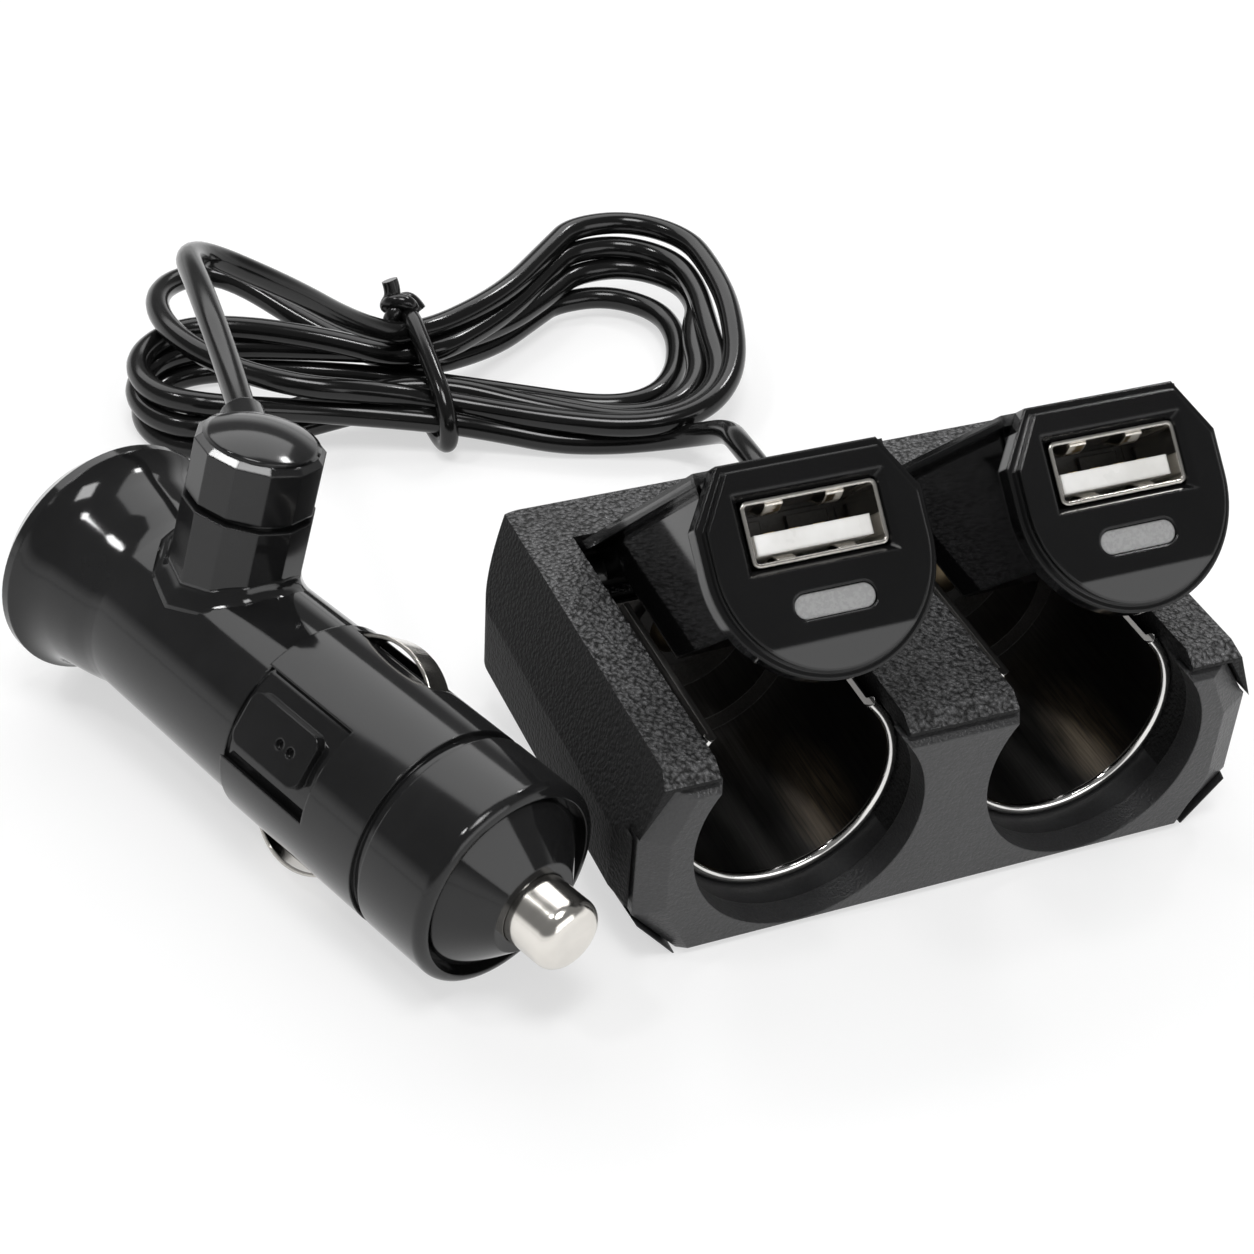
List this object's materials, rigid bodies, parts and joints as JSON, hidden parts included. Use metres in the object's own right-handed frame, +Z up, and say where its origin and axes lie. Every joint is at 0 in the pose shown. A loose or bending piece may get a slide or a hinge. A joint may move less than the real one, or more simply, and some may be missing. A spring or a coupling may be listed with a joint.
{
  "type": "car lighter socket splitter",
  "caption": "Black car lighter-socket splitter: casing with sockets under hinged lids that carry charging ports, a tied cord and a lighter plug with a sprung tip.",
  "frame": {"origin": "middle of the casing's base, on the surface it stands on", "axes": "+Z up, the sockets face -Y, +X to the right seen from the sockets"},
  "size_m": [0.1097, 0.1298, 0.0466],
  "materials": {
    "grained_shell": "leather-grained black plastic",
    "shell_plain": "fine matt black plastic",
    "plate": "fine sand-textured black plastic",
    "screw_steel": "zinc-plated steel",
    "board": "green circuit board",
    "cord_rubber": "semi-gloss black flexible plastic",
    "liner_metal": "satin-drawn nickel-plated steel",
    "insulator": "dark moulded insulator",
    "contact_brass": "bright brass",
    "pin_steel": "ground steel",
    "lid_gloss": "polished black plastic",
    "nickel": "bright nickel plate",
    "port_white": "white plastic",
    "light_grey": "frosted translucent plastic",
    "plug_gloss": "polished black plastic",
    "fuse_glass": "clear glass"
  },
  "bodies": {
    "casing": {"upper_shell": "grained_shell", "base_shell": "shell_plain", "front_plate": "plate", "casing_screws": "screw_steel", "junction_board": "board", "strain_relief": "cord_rubber", "cord_lead": "cord_rubber", "cord_hank": "cord_rubber", "cord_tail": "cord_rubber", "hank_tie": "cord_rubber", "socket_liner_left": "liner_metal", "socket_liner_right": "liner_metal", "contact_insulator_left": "insulator", "contact_insulator_right": "insulator", "center_contact_left": "contact_brass", "center_contact_right": "contact_brass", "hinge_pin_left": "pin_steel", "hinge_pin_right": "pin_steel", "tip_spring": "pin_steel", "fuse_caps": "nickel", "plug_grip": "plug_gloss", "plug_sleeve": "plug_gloss", "tip_collar": "plug_gloss", "cord_nut": "plug_gloss", "fuse_tube": "fuse_glass"},
    "lid_left": {"lid_arm_left": "lid_gloss", "lid_cover_left": "lid_gloss", "lid_face_left": "lid_gloss", "port_shell_left": "nickel", "port_tongue_left": "port_white", "port_contacts_left": "contact_brass", "port_board_left": "board", "light_window_left": "light_grey"},
    "lid_right": {"lid_arm_right": "lid_gloss", "lid_cover_right": "lid_gloss", "lid_face_right": "lid_gloss", "port_shell_right": "nickel", "port_tongue_right": "port_white", "port_contacts_right": "contact_brass", "port_board_right": "board", "light_window_right": "light_grey"},
    "tip": {"contact_tip": "nickel"},
    "side_leaf_upper": {"side_contact_upper": "nickel"},
    "side_leaf_lower": {"side_contact_lower": "nickel"}
  },
  "joints": [
    {"name": "lid_hinge_left", "type": "hinge", "parent": "casing", "child": "lid_left", "pos_m": [-0.015, 0.0132, 0.0186], "axis": [1, 0, 0], "range_deg": [0, 45]},
    {"name": "lid_hinge_right", "type": "hinge", "parent": "casing", "child": "lid_right", "pos_m": [0.015, 0.0132, 0.0186], "axis": [1, 0, 0], "range_deg": [0, 45]},
    {"name": "tip_press", "type": "slide", "parent": "casing", "child": "tip", "axis": [-0.3711, 0.9279, 0.0356], "range_m": [0, 0.004], "stiffness_N_per_m": 800, "springref_m": -0.002, "deforming": ["tip_spring"]},
    {"name": "side_leaf_upper_press", "type": "slide", "parent": "casing", "child": "side_leaf_upper", "axis": [-0.5693, -0.1971, -0.7981], "range_m": [0, 0.0014], "stiffness_N_per_m": 500, "springref_m": -0.001},
    {"name": "side_leaf_lower_press", "type": "slide", "parent": "casing", "child": "side_leaf_lower", "axis": [0.5693, 0.1971, 0.7981], "range_m": [0, 0.0014], "stiffness_N_per_m": 500, "springref_m": -0.001}
  ]
}
